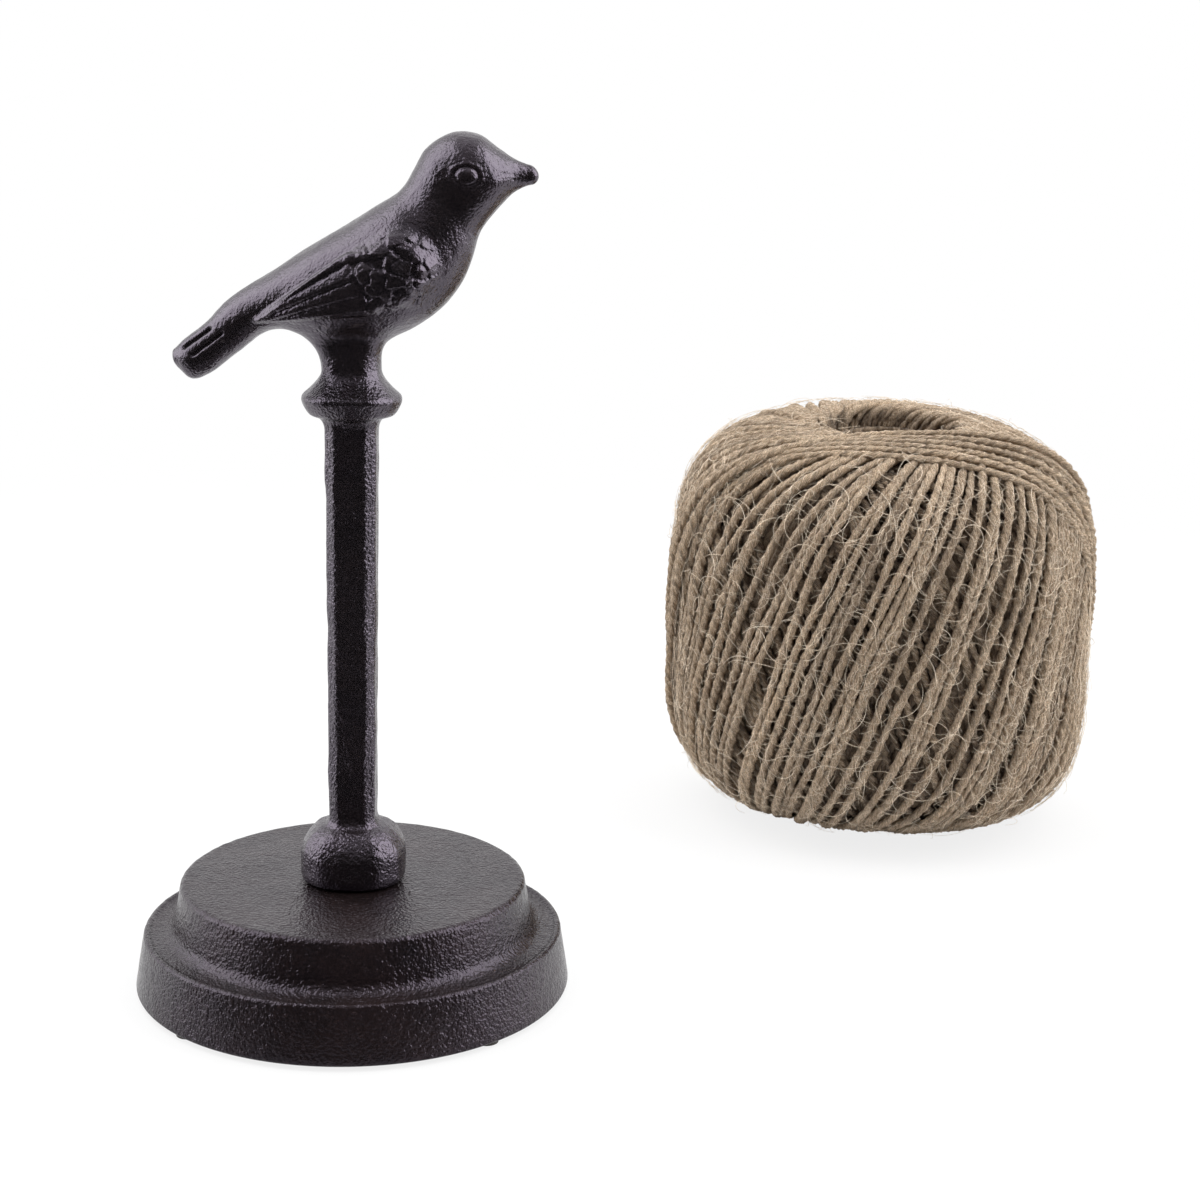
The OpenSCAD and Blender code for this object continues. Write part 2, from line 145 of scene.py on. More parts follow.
# The eye's rim and groove: height, place and width, as shares of its half size. Its ball: height and radius
EYE_RIM, EYE_GROOVE, EYE_BALL = (0.17, 1.0, 0.16), (-0.25, 0.78, 0.09), (0.55, 0.64)
TAIL_GROOVES = [((-39.8, 7.2), (-33.4, 11.9)), ((-37.5, 5.6), (-30.2, 11.1))]
TAIL_GROOVE_DEPTH, TAIL_GROOVE_W = 1.0, 0.40
MOUTH = ((36.4, 49.7), (38.8, 49.6))
MOUTH_DEPTH, MOUTH_W = 0.14, 0.35
# Warts that the mould left on the post: place, radius and height
WARTS = [
    ((0.6, -6.2, 122.0), 1.5, 0.35),
    ((-4.6, -4.4, 135.0), 0.8, 0.22),
    ((4.4, -4.7, 99.0), 0.9, 0.2),
    ((-2.0, 6.1, 77.0), 1.2, 0.25),
]
CASTING_VOXEL = 0.34
# Where the neck runs into the belly, over the bird's datum, and how far out
JOINT_FROM, JOINT_TO, JOINT_FADE = 2.0, 14.0, 3.0
JOINT_R, JOINT_R_FADE = 17.0, 4.0
# Softening of the fused skin: share of each step and rounds, all over, at the joint and on the shank
SKIN_SOFT, SKIN_ROUNDS, SKIN_BACK = 0.5, 14, 1.04
JOINT_SOFT, JOINT_ROUNDS = 0.6, 60
FOOT_SOFT, SHANK_SOFT, SHANK_ROUNDS, SHANK_TOP = 0.6, 0.5, 10, 3.0
# The carving fades out towards the post and on the joint
CARVING_FADE, CARVING_OUT, CARVING_OUT_FADE = 4.0, 13.0, 3.0
# Waves on the spindle: height and wavelength; the fine ones are higher on the foot
CASTING_WAVE, CASTING_WAVE_L = 0.05, 8.0
GRAIN_WAVE, FOOT_GRAIN_WAVE, GRAIN_WAVE_L = 0.012, 0.025, 2.4
# Long strokes of hand dressing on the post
STROKE_H, STROKE_W, STROKE_STRETCH = 0.07, 5.5, (1.0, 1.0, 0.3)
STROKE_END, STROKE_FADE = 12.0, 8.0

# Twine
TWINE_R = 1.42
TWINE_LAY = 12.0
LOOPS = 100
LEAN = 70.0
LEAN_SHARE = 0.04
CHANGEOVER = 13.0
LIP_DEPTH, FLOOR_LIP_DEPTH = 17.0, 2.6
LIP_FROM, LIP_TO = 56.0, 71.0
UNDER_DEPTH = 2.4
# How square the ball's barrel is above and below its middle
POWER_UP, POWER_DOWN = 3.8, 4.4
BORE_R = 14.5
LAST_WRAPS = 6
# The last wraps: where they start, in degrees, their spread, their leans, and how many radii they stand up
LAST_TURN, LAST_SPREAD, LAST_LEANS, LAST_HEIGHTS = 178.0, 17, (58.0, 69.5), (0.8, 2.1)
# They lie pressed flat up to this latitude, and stand up fully so many degrees above it
PRESSED_AT, PRESSED_FADE = -66.0, 30.0
# How a strand sways: degrees and waves in a loop. How its thickness varies: share, length and phase
SWAY = ((0.7, 2), (0.45, 5), (0.2, 11))
UNEVEN = ((0.08, 11.0, 0.0), (0.06, 4.3, 1.0), (0.04, 1.9, 0.0))
# A ply's place out from the strand's middle and its radius, as shares, and angles on its outline
PLY_OUT, PLY_R, PLY_ANGLES = 0.40, 0.60, (-38.0, 0.0, 38.0, 60.0)
# How loose strands lie, and how unevenly they follow each other, as shares of an even gap
LOOSE_WAVE, LOOSE_MOST = 0.3, 0.5
GAP_SPREAD, GAP_LEAST, GAP_MOST = 0.42, 0.35, 2.1
# Tone of the twine, and how much painted shade darkens it for each millimetre of depth
TONE, DEPTH_SHADE, DEEPEST = 0.72, 0.15, 4.0
# The layers inside: rows of points, the hole's lip, and the strands in its wall
INSIDE_ROWS, WALL_ROWS, HOLE_LIP = 60, 90, 6.0
WALL_STRANDS, WALL_SLANT, WALL_DEPTH = 22, 0.75, 0.8
# How far the ball leans over to the left, for each millimetre of height
BALL_LEAN = 0.03
# The hole stays upright to this radius
UPRIGHT_R, UPRIGHT_FADE = 20.0, 20.0
# How far its top and its bottom slope towards the front
TOP_SLOPE, BOTTOM_SLOPE = 0.085, 0.038
# Loose fibres, short and long: number, points on each, and ranges of length, bend, thickness, lift, tone
FIBRES = [
    (9000, 4, (1.5, 5.0), (0.1, 1.2), (0.045, 0.085), (0.0, 0.5), (0.4, 0.9)),
    (1900, 9, (6.0, 16.0), (0.4, 3.0), (0.065, 0.10), (0.1, 1.0), (0.9, 1.0)),
]
CROWN_FIBRES, FIBRE_MARGIN, FIBRE_SPREAD = 0.15, 10.0, 0.8
FIBRE_ROOT, FIBRE_TIP, FIBRE_DEPTH = 0.85, 0.4, 2.0
STRAY_SHARE, STRAY_LIFT = 0.02, (0.5, 2.5)

# Paint: grain across, its depth and the pits' depth in metres, two colours, roughness and index of refraction
BASE_PAINT = {
    "grain": 0.0008, "grain_depth": 0.00040, "pit_depth": 0.0002,
    "dark": (0.0055, 0.0041, 0.0041), "brown": (0.0135, 0.0084, 0.0082), "gloss": (0.17, 0.27), "ior": 1.54,
}
SPINDLE_PAINT = {
    "grain": 0.0007, "grain_depth": 0.00036, "pit_depth": 0.00004,
    "dark": (0.0055, 0.0045, 0.0045), "brown": (0.0105, 0.0075, 0.0075), "gloss": (0.18, 0.28), "ior": 1.85,
}
# Jute: light, middle and deep colour
TWINE_COLOURS = ((0.94, 0.81, 0.66), (0.56, 0.42, 0.285), (0.20, 0.126, 0.072))
# The inside layers and the hole's wall: the same jute made darker, as painted shade
SHADED_INSIDE_COLOURS = ((0.46, 0.365, 0.27), (0.31, 0.235, 0.165), (0.14, 0.10, 0.065))
FIBRE_COLOURS = ((0.95, 0.87, 0.76), (0.80, 0.70, 0.58), (0.58, 0.48, 0.37))

# Studio, in metres and degrees. Lamps: name, place, target, size, watts and whether they show in mirrors
LAMPS = [
    ("left_panel", (-1.1, 0.0, 0.80), (0.0, 0.0, 0.1), (1.4, 1.8), 16.0, True),
    ("right_panel", (1.25, 0.0, 0.80), (0.05, 0.0, 0.1), (1.4, 1.8), 21.0, True),
    ("top_panel", (0.05, 0.25, 1.30), (0.05, 0.05, 0.0), (1.6, 1.4), 15.0, False),
]
CAMERA_PLACE, CAMERA_PITCH, CAMERA_ROLL = (0.0612, -0.52953, 0.22704), -13.312, 1.262
CAMERA_LENS, CAMERA_SENSOR = 66.0, 36.0
# Floor, in millimetres: half its width, and its height
FLOOR_HALF, FLOOR_Z = 6000.0, -0.02


def smooth(t):
    t = np.clip(t, 0.0, 1.0)
    return t * t * (3.0 - 2.0 * t)


def mix(a, b, t):
    return a + (b - a) * t


def between(value, start, end, fade):
    return smooth((value - start) / fade) * (1 - smooth((value - end) / fade))


def hump(distance, height, width):
    return height * np.exp(-(distance / width) ** 2)


def unit(v):
    return v / np.linalg.norm(v, axis=-1, keepdims=True)


def waves(points, wavelength, count=24, source=rng):
    """Smooth noise of about unit size: plane waves in random directions."""
    ways = unit(source.normal(size=(count, 3)))
    phases = source.uniform(0, 2 * math.pi, count)
    return np.sin(points @ ways.T * (2 * math.pi / wavelength) + phases).sum(1) * math.sqrt(2 / count)


def arc(x, y, r, start, end, steps):
    a = np.radians(np.linspace(start, end, steps + 1))
    return np.stack([x + r * np.cos(a), y + r * np.sin(a)], -1)


def grid_faces(rows, columns, closed=False):
    """Quads of a grid whose columns close on themselves, and its rows too if closed."""
    i, j = np.meshgrid(np.arange(rows if closed else rows - 1), np.arange(columns), indexing="ij")
    across, along = (j + 1) % columns, (i + 1) % rows
    corners = [i * columns + j, i * columns + across, along * columns + across, along * columns + j]
    return np.stack(corners, -1).reshape(-1, 4)


def mesh_object(name, points, faces, material=None):
    """A smooth-shaded object of points in millimetres."""
    mesh = bpy.data.meshes.new(name)
    mesh.from_pydata((points * MM).tolist(), [], faces.tolist() if isinstance(faces, np.ndarray) else faces)
    mesh.polygons.foreach_set("use_smooth", np.ones(len(mesh.polygons), dtype=bool))
    mesh.update()
    ob = bpy.data.objects.new(name, mesh)
    bpy.context.scene.collection.objects.link(ob)
    if material:
        mesh.materials.append(material)
    return ob


def evenly(profile, spacing):
    """Points about evenly spaced along a closed outline."""
    loop = np.vstack([profile, profile[:1]])
    steps = np.linalg.norm(np.diff(loop, axis=0), axis=1)
    out = []
    for start, end, length in zip(loop[:-1], loop[1:], steps):
        n = max(1, int(round(length / spacing)))
        out.append(start + (end - start) * (np.arange(n) / n)[:, None])
    return np.vstack(out)


def outward_normals(points, quads):
    a, b, c, d = (points[quads[:, k]] for k in range(4))
    face = np.cross(c - a, d - b)
    out = np.zeros_like(points)
    for k in range(4):
        np.add.at(out, quads[:, k], face)
    return unit(out + 1e-12)


def relaxed(points, quads, weight, rounds, back=0.0):
    """Moves each point towards the mean of its neighbours by its weight, and by a share of it back again."""
    ends = np.vstack([quads[:, [0, 1]], quads[:, [1, 2]], quads[:, [2, 3]], quads[:, [3, 0]]])
    ends = np.unique(np.sort(ends, axis=1), axis=0)
    count = np.bincount(ends.ravel(), minlength=len(points))[:, None]
    points = points.copy()
    for step in range(rounds * 2 if back else rounds):
        total = np.zeros_like(points)
        for k in range(3):
            total[:, k] = np.bincount(ends[:, 0], points[ends[:, 1], k], len(points))
            total[:, k] += np.bincount(ends[:, 1], points[ends[:, 0], k], len(points))
        share = -back if back and step % 2 else 1.0
        points += share * weight[:, None] * (total / np.maximum(count, 1) - points)
    return points


# Materials


def range_node(tree, source, start, end, low, high, kind="SMOOTHSTEP"):
    node = tree.nodes.new("ShaderNodeMapRange")
    node.interpolation_type = kind
    for key, value in (("From Min", start), ("From Max", end), ("To Min", low), ("To Max", high)):
        node.inputs[key].default_value = value
    tree.links.new(source, node.inputs["Value"])
    return node.outputs["Result"]


class Nodes:
    """A material's node tree, with short calls to add to it."""

    def __init__(self, name):
        self.material = bpy.data.materials.new(name)
        self.material.use_nodes = True
        self.tree = self.material.node_tree
        self.shader = self.tree.nodes["Principled BSDF"]

    def add(self, kind, **values):
        node = self.tree.nodes.new(kind)
        for key, value in values.items():
            if key in node.inputs:
                node.inputs[key].default_value = value
            else:
                setattr(node, key, value)
        return node

    def link(self, source, target):
        self.tree.links.new(source, target)

    def noise(self, where, scale, detail=2.0, roughness=0.5):
        node = self.add("ShaderNodeTexNoise", Scale=scale, Detail=detail, Roughness=roughness)
        self.link(where, node.inputs["Vector"])
        return node.outputs["Fac"]

    def ramp(self, value, *stops):
        node = self.add("ShaderNodeValToRGB")
        elements = node.color_ramp.elements
        while len(elements) < len(stops):
            elements.new(0.5)
        for element, (place, colour) in zip(elements, stops):
            element.position = place
            element.color = (*colour, 1.0)
        self.link(value, node.inputs["Fac"])
        return node.outputs["Color"]

    def spread(self, value, low, high, start=0.3, end=0.7):
        return range_node(self.tree, value, start, end, low, high, "LINEAR")

    def blend(self, factor, a, b, kind="MIX"):
        node = self.add("ShaderNodeMix", data_type="RGBA", blend_type=kind)
        if isinstance(factor, float):
            node.inputs["Factor"].default_value = factor
        else:
            self.link(factor, node.inputs["Factor"])
        for socket, value in ((node.inputs[6], a), (node.inputs[7], b)):
            if isinstance(value, tuple):
                socket.default_value = (*value, 1.0)
            else:
                self.link(value, socket)
        return node.outputs[2]

    def bump(self, height, strength, distance, under=None):
        node = self.add("ShaderNodeBump", Strength=strength, Distance=distance)
        self.link(height, node.inputs["Height"])
        if under:
            self.link(under, node.inputs["Normal"])
        return node.outputs["Normal"]


def iron_material(name, grain, grain_depth, pit_depth, dark, brown, gloss, ior):
    """Brown-black paint on a sand casting: grain across, its depth and the pits' depth in metres."""
    n = Nodes(name)
    where = n.add("ShaderNodeTexCoord").outputs["Object"]
    patches = n.noise(where, 55.0, 5.0, 0.65)
    specks = n.noise(where, 1.0 / grain, 1.0, 0.5)
    paint = n.ramp(patches, (0.32, dark), (0.68, brown))
    paint = n.blend(n.spread(specks, 0.0, 0.6, 0.56, 0.82), paint, tuple(2.2 * c for c in brown))
    edges = n.add("ShaderNodeNewGeometry").outputs["Pointiness"]
    paint = n.blend(n.spread(edges, 0.0, 0.45, 0.53, 0.62), paint, (0.045, 0.036, 0.035))
    n.link(paint, n.shader.inputs["Base Color"])
    n.link(n.spread(n.noise(where, 260.0, 4.0, 0.65), *gloss), n.shader.inputs["Roughness"])
    n.shader.inputs["IOR"].default_value = ior
    n.shader.inputs["Specular Tint"].default_value = (0.92, 0.80, 1.0, 1.0)
    coarse = n.bump(n.noise(where, 0.3 / grain, 2.0, 0.5), 0.5, grain_depth)
    pits = n.spread(n.noise(where, 0.5 / grain, 1.0, 0.5), 0.0, 1.0, 0.62, 0.74)
    pitted = n.bump(pits, 0.8, -pit_depth, coarse)
    grained = n.add("ShaderNodeBump", Distance=grain_depth)
    n.link(specks, grained.inputs["Height"])
    n.link(pitted, grained.inputs["Normal"])
    # The bird was dressed smoother than the post and the base
    height = n.add("ShaderNodeSeparateXYZ")
    n.link(where, height.inputs["Vector"])
    n.link(n.spread(height.outputs["Z"], 1.0, 0.55, 0.140, 0.165), grained.inputs["Strength"])
    n.link(grained.outputs["Normal"], n.shader.inputs["Normal"])
    return n.material


def steel_material():
    n = Nodes("bright_steel")
    where = n.add("ShaderNodeTexCoord").outputs["Object"]
    wear = n.noise(where, 900.0, 4.0, 0.6)
    n.link(n.ramp(wear, (0.3, (0.30, 0.29, 0.28)), (0.7, (0.47, 0.47, 0.47))), n.shader.inputs["Base Color"])
    n.link(n.spread(wear, 0.25, 0.45), n.shader.inputs["Roughness"])
    n.shader.inputs["Metallic"].default_value = 1.0
    n.link(n.bump(wear, 0.2, 0.00004), n.shader.inputs["Normal"])
    return n.material


def felt_material():
    n = Nodes("pressed_felt")
    where = n.add("ShaderNodeTexCoord").outputs["Object"]
    fibres = n.noise(where, 4200.0, 5.0, 0.7)
    colour = n.ramp(fibres, (0.3, (0.040, 0.035, 0.030)), (0.75, (0.105, 0.094, 0.082)))
    n.link(colour, n.shader.inputs["Base Color"])
    n.shader.inputs["Roughness"].default_value = 0.95
    n.shader.inputs["Sheen Weight"].default_value = 0.3
    n.link(n.bump(fibres, 0.8, 0.0003), n.shader.inputs["Normal"])
    return n.material


def jute_material(name, light, dark, deep):
    """Twisted jute in three colours: fibres run along the strand, which the attribute strand measures."""
    n = Nodes(name)
    strand = n.add("ShaderNodeAttribute", attribute_name="strand").outputs["Vector"]
    where = n.add("ShaderNodeTexCoord").outputs["Object"]
    stretched = n.add("ShaderNodeMapping")
    stretched.inputs["Scale"].default_value = (0.35, 5.0, 31.0)
    n.link(strand, stretched.inputs["Vector"])
    fibres = n.noise(stretched.outputs["Vector"], 1.6, 5.0, 0.65)
    tone = n.add("ShaderNodeSeparateXYZ")
    n.link(strand, tone.inputs["Vector"])
    colour = n.ramp(fibres, (0.36, deep), (0.50, dark), (0.64, light))
    tones = ((0.05, (0.40, 0.37, 0.34)), (0.5, (0.92, 0.90, 0.87)), (1.0, (1.16, 1.14, 1.10)))
    # The tone darkens deeper strands and the inside as painted shade, and drifts at random along the strand
    varied_and_shaded = n.ramp(tone.outputs["Z"], *tones)
    colour = n.blend(1.0, colour, varied_and_shaded, "MULTIPLY")
    blotches = n.ramp(n.noise(where, 55.0, 3.0, 0.6), (0.3, (0.88, 0.86, 0.84)), (0.7, (1.06, 1.06, 1.06)))
    colour = n.blend(1.0, colour, blotches, "MULTIPLY")
    # Fine fibre ends all over, lighter and darker
    specks = n.ramp(n.noise(where, 2300.0, 3.0, 0.7), (0.33, (0.66, 0.64, 0.62)), (0.68, (1.35, 1.35, 1.35)))
    n.link(n.blend(1.0, colour, specks, "MULTIPLY"), n.shader.inputs["Base Color"])
    n.shader.inputs["Roughness"].default_value = 0.88
    n.shader.inputs["Specular IOR Level"].default_value = 0.25
    n.shader.inputs["Sheen Weight"].default_value = 0.15
    n.shader.inputs["Sheen Roughness"].default_value = 0.6
    n.link(n.bump(fibres, 1.0, 0.0008), n.shader.inputs["Normal"])
    return n.material


# Base casting


def base_profile():
    """The casting's whole section, round from the floor edge over the top and back under it."""
    shoulder_r, shoulder_z = BASE_R - LOWER_TAPER, RIM_Z + LOWER_H
    hole_r = STUD_R + HOLE_PLAY
    boss_bottom, ceiling = BASE_TOP - BOSS_H, BASE_TOP - BASE_WALL
    ledge_z = shoulder_z - 0.4 * BEAD_R
    outside = np.vstack([
        arc(BASE_R - FLOOR_EDGE_R, RIM_Z + FLOOR_EDGE_R, FLOOR_EDGE_R, -90, 0, 5),
        arc(shoulder_r - BEAD_R, shoulder_z - BEAD_R, BEAD_R, 0, 140, 10),
        [[shoulder_r - 2.4 * BEAD_R, shoulder_z - 0.6 * BEAD_R]],
        arc(UPPER_R + UPPER_FLARE + COVE_R, ledge_z + COVE_R, COVE_R, 270, 190, 10),
        arc(UPPER_R - TOP_EDGE_R, BASE_TOP - TOP_EDGE_R, TOP_EDGE_R, 10, 90, 8),
        [[hole_r + HOLE_BEVEL, BASE_TOP], [hole_r, BASE_TOP - HOLE_BEVEL]],
    ])
    inside = np.array([
        [hole_r, boss_bottom],
        [BOSS_R, boss_bottom],
        [BOSS_R, ceiling - TOP_EDGE_R],
        [BOSS_R + TOP_EDGE_R, ceiling],
        [UPPER_R - BASE_WALL - TOP_EDGE_R, ceiling],
        [UPPER_R - BASE_WALL, ceiling - TOP_EDGE_R],
        [UPPER_R + UPPER_FLARE - BASE_WALL, RIM_Z + LOWER_H - BASE_WALL + COVE_R],
        [BASE_R - RIM_W, RIM_Z + LOWER_H - BASE_WALL],
        [BASE_R - RIM_W, RIM_Z],
    ])
    return np.vstack([outside, inside])


def make_base(material):
    profile = evenly(base_profile(), BASE_SPACING)
    around = BASE_AROUND
    a = np.arange(around) / around * 2 * math.pi
    r, z = profile[:, :1], profile[:, 1:]
    points = np.stack([r * np.cos(a), r * np.sin(a), np.broadcast_to(z, (len(z), around))], -1).reshape(-1, 3)
    quads = grid_faces(len(profile), around, closed=True)
    # A casting is never quite true: waves all over, and none where it seats the foot, the stud and the pads
    outside_foot = smooth((np.hypot(points[:, 0], points[:, 1]) - FOOT_W - SEAT_MARGIN) / SEAT_FADE)
    off_seats = outside_foot * smooth((points[:, 2] - RIM_Z) / RIM_FADE)
    lumps = sum(height * waves(points, wavelength, count) for height, wavelength, count in BASE_WAVES)
    points += outward_normals(points, quads) * (off_seats * lumps)[:, None]
    ob = mesh_object("base_body", points, quads, material)
    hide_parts("base_casting")
    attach(ob, "base")


# Stud


def make_stud(material):
    """A stud with a real thread, cut to its ends' bevels."""
    pitch, depth, bevel, around = 1.25, 0.65, 0.8, 48
    z = np.arange(stud_low[2], stud_high[2] + 0.01, pitch / 12)
    a = np.arange(around) / around
    turns = (z[:, None] / pitch - a[None]) % 1.0
    r = STUD_R - depth * np.clip(np.abs(turns - 0.5) * 2.6 - 0.3, 0.0, 1.0)
    ends = np.minimum(z - stud_low[2], stud_high[2] - z)[:, None]
    r = np.minimum(r, STUD_R - bevel + ends)
    angle = 2 * math.pi * a
    points = np.stack([r * np.cos(angle), r * np.sin(angle), np.broadcast_to(z[:, None], r.shape)], -1)
    faces = grid_faces(len(z), around).tolist()
    last = (len(z) - 1) * around
    faces += [list(range(around - 1, -1, -1)), list(range(last, last + around))]
    ob = mesh_object("stud_thread", points.reshape(-1, 3), faces, material)
    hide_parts("spindle_stud")
    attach(ob, "stud")


# Bird spindle


def chamfered(a):
    c, s = np.abs(np.cos(a)), np.abs(np.sin(a))
    return np.minimum(1 / np.maximum(c, s), (1 + FLAT_SHARE) / (c + s))


def shank_levels():
    """Rows of height, half width and roundness, from under the foot to the top of the collar."""
    t = np.linspace(0, 1, 13)
    down, up = np.cos(t * math.pi / 2), np.sin(t * math.pi / 2)
    under = mix(POST_TOP_W, COLLAR_W, UNDER_SHARE)
    lip = np.array(LIP) * (COLLAR_RIM, COLLAR_W) + (COLLAR_Z, 0)
    foot_edge = (
        BASE_TOP + FOOT_EDGE_R * (1 - down),
        FOOT_W - FOOT_EDGE_R * (1 - up),
        mix(FOOT_ROUND[0], FOOT_ROUND[1], t),
    )
    foot_dome = (
        BASE_TOP + FOOT_H + FOOT_DOME_H * up ** DOME_POWER,
        mix(POST_LOW_W + POST_FILLET, FOOT_W, np.maximum(down, 0) ** DOME_POWER),
        mix(FOOT_ROUND[1], FOOT_ROUND[2], t),
    )
    post_fillet = (
        DOME_TOP + FILLET_STRETCH * POST_FILLET * (1 - down),
        POST_LOW_W + POST_FILLET * (1 - up),
        mix(FOOT_ROUND[2], FILLET_ROUND, t),
    )
    collar_under = (
        COLLAR_Z - COLLAR_UNDER * (1 - up),
        mix(POST_TOP_W, under, 1 - down),
        mix(FILLET_ROUND, COLLAR_ROUND, t),
    )
    collar_rim = (lip[:, 0], lip[:, 1], np.full(len(lip), COLLAR_ROUND))
    flare = (
        mix(lip[-1, 0], NECK_Z, t),
        mix(NECK_R, lip[-1, 1], (1 - t) ** FLARE_POWER),
        mix(COLLAR_ROUND, NECK_ROUND, t),
    )
    parts = (foot_edge, foot_dome, post_fillet, collar_under, collar_rim, flare)
    return np.vstack([np.stack(part, -1) for part in parts])


def capped(rings, tip_low, tip_high):
    """Points and faces of a tube of rings, closed by a fan to a point at each end."""
    count, around = rings.shape[:2]
    points = np.vstack([rings.reshape(-1, 3), [tip_low, tip_high]])
    j = np.arange(around)
    k = (j + 1) % around
    last = (count - 1) * around
    faces = grid_faces(count, around).tolist()
    faces += np.stack([k, j, np.full(around, count * around)], -1).tolist()
    faces += np.stack([last + j, last + k, np.full(around, count * around + 1)], -1).tolist()
    return points, faces


def widened(on, h):
    """Half width of the neck at a height, where it widens on an arc."""
    t = np.clip((h - on[1]) / on[0], 0, on[2])
    return NECK_R + on[0] * (1 - np.sqrt(1 - t * t))


def shank_form():
    rows = shank_levels()
    a = np.radians(np.arange(0, 360, 2.0))
    # The lip is bevelled from below at its front and back
    share = (rows[:, :1] - COLLAR_Z) / COLLAR_RIM
    bevelled = mix(mix(POST_TOP_W, COLLAR_W, UNDER_SHARE), COLLAR_W, share)
    bevel = BEVEL_SHARE * np.abs(np.sin(a)) ** BEVEL_POWER
    on_lip = (share > 0) & (share < 1)
    width = np.where(on_lip, mix(rows[:, 1:2], bevelled, bevel), rows[:, 1:2])
    r = width * mix(chamfered(a)[None], 1.0, rows[:, 2:3])
    rings = np.stack([r * np.cos(a), r * np.sin(a), np.broadcast_to(rows[:, :1], r.shape)], -1)
    h = np.append(np.linspace(NECK_FROM, NECK_TO, 30), NECK_INSIDE)[:, None]
    along = np.where(np.cos(a) < 0, widened(NECK_TO_TAIL, h), widened(NECK_TO_BREAST, h))
    across = np.broadcast_to(widened(NECK_TO_SIDE, h), along.shape).copy()
    along[-1], across[-1] = NECK_R, NECK_R
    soft = mix(mix(chamfered(a)[None], 1.0, NECK_ROUND), 1.0, smooth(h / NECK_INSIDE))
    level = np.broadcast_to(BIRD_Z + h, along.shape)
    neck = np.stack([soft * along * np.cos(a), soft * across * np.sin(a), level], -1)
    return capped(np.vstack([rings, neck]), (0, 0, rows[0, 0]), (0, 0, BIRD_Z + NECK_INSIDE))


def stations_at(s):
    """Smooth curve through the stations."""
    last = len(STATIONS) - 1
    i = np.minimum(s.astype(int), last - 1)
    t = (s - i)[:, None]
    a, b, c, d = (STATIONS[np.clip(i + k, 0, last)] for k in (-1, 0, 1, 2))
    square, cube = 2 * a - 5 * b + 4 * c - d, 3 * b - a - 3 * c + d
    return 0.5 * (2 * b + (c - a) * t + square * t ** 2 + cube * t ** 3)


def rounded_end(ring, tip):
    """Rings that close an end ring towards a round tip."""
    middle = ring.mean(0)
    return [mix(middle, tip, k) + (ring - middle) * math.sqrt(1 - k * k) for k in END_STEPS]


def bird_form():
    rows = stations_at(np.linspace(0, len(STATIONS) - 1, 181))
    a = np.radians(np.arange(0, 360, 2.5))
    up, side = (1 + np.cos(a)) / 2, np.sin(a)
    x = mix(rows[:, 2:3], rows[:, 0:1], up)
    z = mix(rows[:, 3:4], rows[:, 1:2], up)
    rings = np.stack([x, rows[:, 4:5] * side, z + BIRD_Z], -1)
    tips = [np.array([tip[0], 0, tip[1] + BIRD_Z]) for tip in (TAIL_TIP, BEAK_TIP)]
    tail, beak = rounded_end(rings[0], tips[0]), rounded_end(rings[-1], tips[1])
    return capped(np.concatenate([tail[::-1], rings, beak]), *tips)


def fused_casting():
    """The post and the bird as one closed skin of small quads, in millimetres."""
    shank, bird = shank_form(), bird_form()
    points = np.vstack([shank[0], bird[0]])
    shift = len(shank[0])
    faces = shank[1] + [[v + shift for v in face] for face in bird[1]]
    rough = mesh_object("rough_casting", points, faces)
    remesh = rough.modifiers.new("skin", "REMESH")
    remesh.mode = "VOXEL"
    remesh.voxel_size = CASTING_VOXEL * MM
    ready = rough.evaluated_get(bpy.context.evaluated_depsgraph_get())
    mesh = bpy.data.meshes.new_from_object(ready)
    points = np.empty(len(mesh.vertices) * 3)
    mesh.vertices.foreach_get("co", points)
    quads = np.empty(len(mesh.loops), dtype=np.int64)
    mesh.loops.foreach_get("vertex_index", quads)
    bpy.data.objects.remove(rough)
    bpy.data.meshes.remove(mesh)
    return points.reshape(-1, 3) / MM, quads.reshape(-1, 4)


def segment_distance(p, start, end):
    """Distance of points from a segment, and the share of its length at which each is nearest."""
    start, end = np.array(start), np.array(end)
    along = end - start
    t = np.clip((p - start) @ along / (along @ along), 0, 1)
    return np.linalg.norm(p - start - t[:, None] * along, axis=1), t


